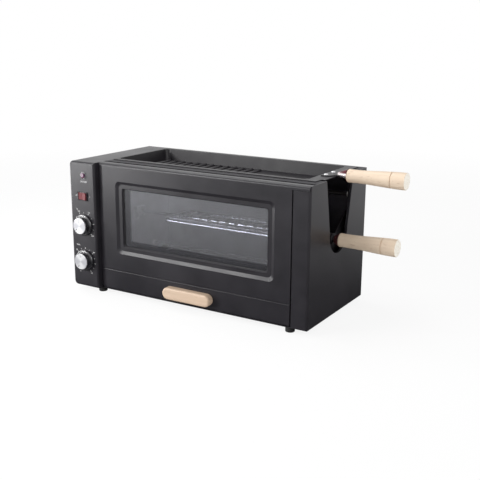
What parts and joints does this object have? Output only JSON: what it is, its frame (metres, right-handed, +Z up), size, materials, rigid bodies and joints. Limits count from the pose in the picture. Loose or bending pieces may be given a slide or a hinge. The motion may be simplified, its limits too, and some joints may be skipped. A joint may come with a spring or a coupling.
{
  "type": "electric oven",
  "caption": "Long countertop roasting oven with a glazed front, drip drawer, hand-turned wire basket and lift-out grill pan with wooden handles.",
  "frame": {"origin": "on the table, below the centre of the overall box", "axes": "+X towards the wooden handles, -Y out of the glazed front, +Z up"},
  "size_m": [0.56, 0.2299, 0.2446],
  "materials": {
    "painted_case": "satin charcoal paint",
    "bright_liner": "bright rolled steel",
    "plated_steel": "zinc plated",
    "tray_enamel": "dark enamel",
    "glass": "clear",
    "silicone": "soft black",
    "rubber": "matte black",
    "heater_sheath": "heat-darkened steel",
    "ceramic": "unglazed white",
    "control_plastic": "moulded black",
    "block_plastic": "natural nylon",
    "silver_cap": "spun aluminium",
    "red_key": "translucent red",
    "lamp_red": "clear tinted",
    "pan_coating": "dark non-stick coating",
    "bright_bracket": "polished",
    "brown_ferrule": "dark red-brown lacquer",
    "chrome_wire": "chrome plated",
    "beech": "light, smooth, uncoated"
  },
  "bodies": {
    "case": {"base_plate": "painted_case", "control_housing": "painted_case", "front_panel": "painted_case", "right_cover": "painted_case", "rear_panel": "painted_case", "cord_bushing": "silicone", "top_frame": "painted_case", "rear_screws": "plated_steel", "window_seal": "silicone", "window_glass": "glass", "glass_clips": "bright_liner", "feet": "rubber", "foot_screws": "plated_steel", "liner_left": "bright_liner", "liner_front": "bright_liner", "liner_rear": "bright_liner", "liner_right": "bright_liner", "upper_heaters": "heater_sheath", "lower_heater": "heater_sheath", "heater_bushings": "ceramic", "shaft_cradle": "bright_liner", "drawer_runners": "plated_steel", "thermostat_body": "control_plastic", "timer_body": "control_plastic", "switch_body": "control_plastic", "lamp_body": "control_plastic", "lamp_lens": "lamp_red", "terminal_block": "block_plastic"},
    "drawer": {"drawer_tray": "tray_enamel", "tray_sides": "tray_enamel", "drawer_front": "painted_case", "drawer_pull": "beech", "pull_screws": "plated_steel"},
    "thermostat_control": {"thermostat_shaft": "plated_steel", "thermostat_knob": "control_plastic", "thermostat_knob_cap": "silver_cap"},
    "timer_control": {"timer_shaft": "plated_steel", "timer_knob": "control_plastic", "timer_knob_cap": "silver_cap"},
    "rocker": {"rocker_key": "red_key"},
    "pan": {"grill_pan": "pan_coating", "pan_bracket": "bright_bracket", "pan_rivets": "bright_bracket", "pan_ferrule": "bright_bracket", "pan_handle": "beech"},
    "bush": {"shaft_bush": "plated_steel"},
    "basket": {"wire_basket": "chrome_wire", "basket_ferrule": "brown_ferrule", "basket_handle": "beech"},
    "lid": {"basket_lid": "chrome_wire"}
  },
  "joints": [
    {"name": "drawer_slide", "type": "slide", "parent": "case", "child": "drawer", "axis": [0, -1, 0], "range_m": [0, 0.15]},
    {"name": "thermostat_turn", "type": "hinge", "parent": "case", "child": "thermostat_control", "pos_m": [-0.251, -0.10125, 0.12], "axis": [0, 1, 0], "range_deg": [0, 270]},
    {"name": "timer_turn", "type": "hinge", "parent": "case", "child": "timer_control", "pos_m": [-0.251, -0.10125, 0.057], "axis": [0, 1, 0], "range_deg": [0, 300]},
    {"name": "rocker_tilt", "type": "hinge", "parent": "case", "child": "rocker", "pos_m": [-0.251, -0.10065, 0.17], "axis": [0, 0, 1], "range_deg": [0, 18]},
    {"name": "pan_lift", "type": "slide", "parent": "case", "child": "pan", "axis": [0, 0, 1], "range_m": [0, 0.32]},
    {"name": "basket_lift", "type": "slide", "parent": "case", "child": "bush", "axis": [0, 0, 1], "range_m": [0, 0.16]},
    {"name": "basket_spin", "type": "hinge", "parent": "bush", "child": "basket", "pos_m": [0.1615, 0.01125, 0.129], "axis": [1, 0, 0], "continuous": true},
    {"name": "lid_swing", "type": "hinge", "parent": "basket", "child": "lid", "pos_m": [0.006, 0.04925, 0.129], "axis": [-1, 0, 0], "range_deg": [0, 50]}
  ],
  "couplings": [
    {"joint": "basket_lift", "follows": "pan_lift", "ratio": 0.5}
  ]
}
